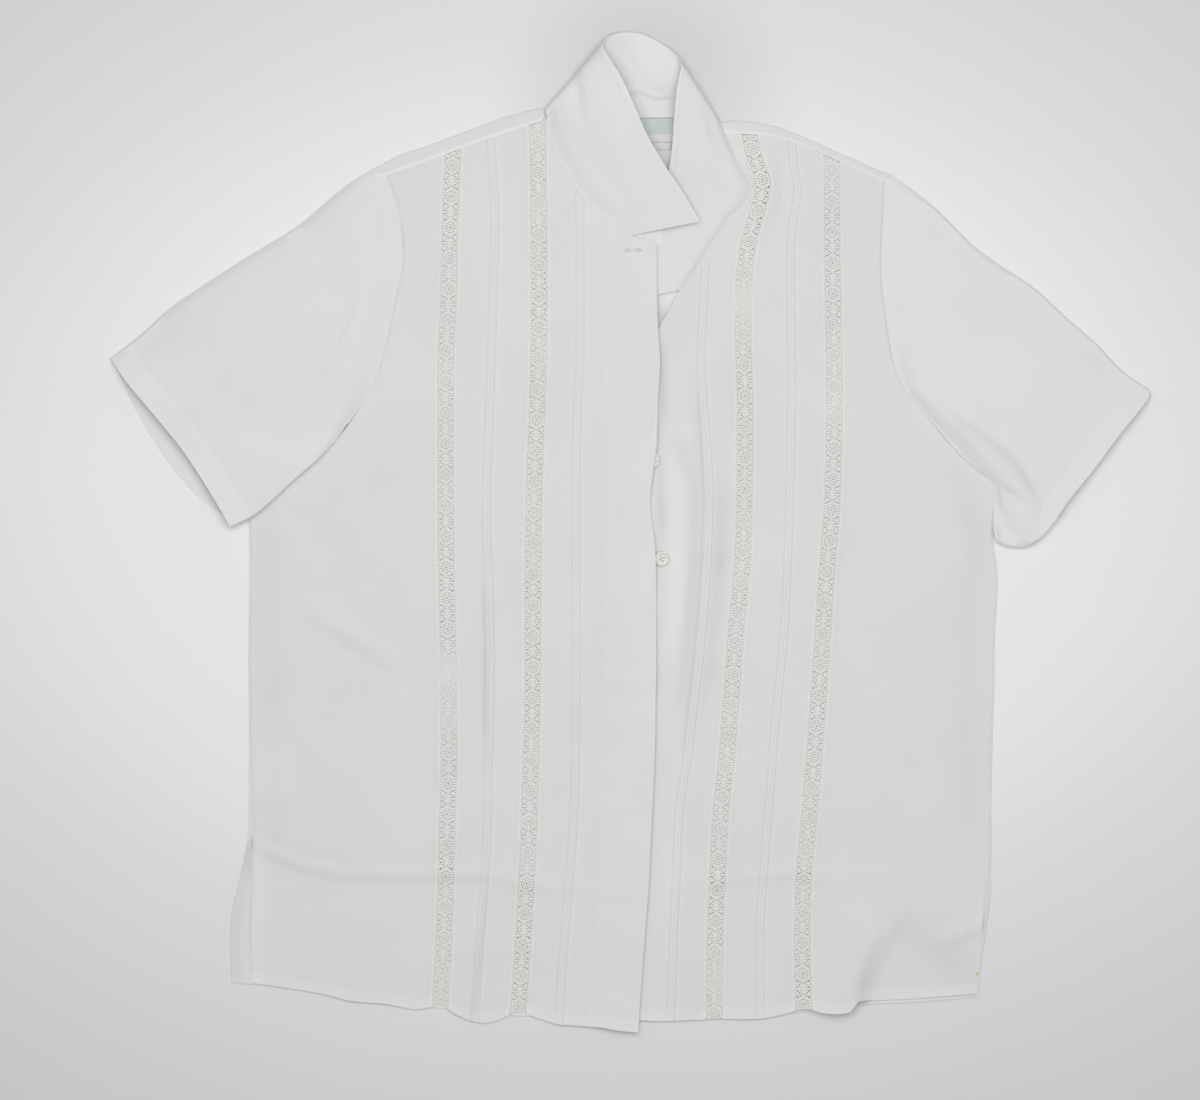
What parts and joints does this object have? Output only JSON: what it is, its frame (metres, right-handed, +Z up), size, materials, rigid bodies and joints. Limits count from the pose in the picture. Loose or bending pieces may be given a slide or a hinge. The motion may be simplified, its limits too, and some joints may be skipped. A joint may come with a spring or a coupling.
{
  "type": "button-up shirt",
  "caption": "Short-sleeved button-up blouse in sheer ivory cloth with lace insertion strips and pin tucks, laid flat face up with the collar folded in.",
  "frame": {"origin": "on the table under the middle of the garment's outline", "axes": "+X across the chest to the right of someone looking down at the front, +Y from the hem to the collar, +Z up out of the front"},
  "size_m": [0.8306, 0.799, 0.0202],
  "materials": {
    "cloth": "sheer woven crepe",
    "lace": "cotton lace",
    "button": "pearly",
    "label": "woven tape",
    "label_strip": "woven tape"
  },
  "bodies": {
    "root": {"back": "cloth", "front_left_side": "cloth", "front_left_middle": "cloth", "front_left_inner": "cloth", "front_right_inner": "cloth", "front_right_middle": "cloth", "front_right_side": "cloth", "sleeve_left": "cloth", "sleeve_right": "cloth", "collar": "cloth", "neck_facing": "cloth", "lace_left_outer": "lace", "lace_left_inner": "lace", "lace_right_inner": "lace", "lace_right_outer": "lace", "button_1": "button", "button_2": "button", "button_3": "button", "button_4": "button", "button_5": "button", "button_6": "button", "neck_label": "label", "neck_label_strip": "label_strip"}
  },
  "joints": []
}
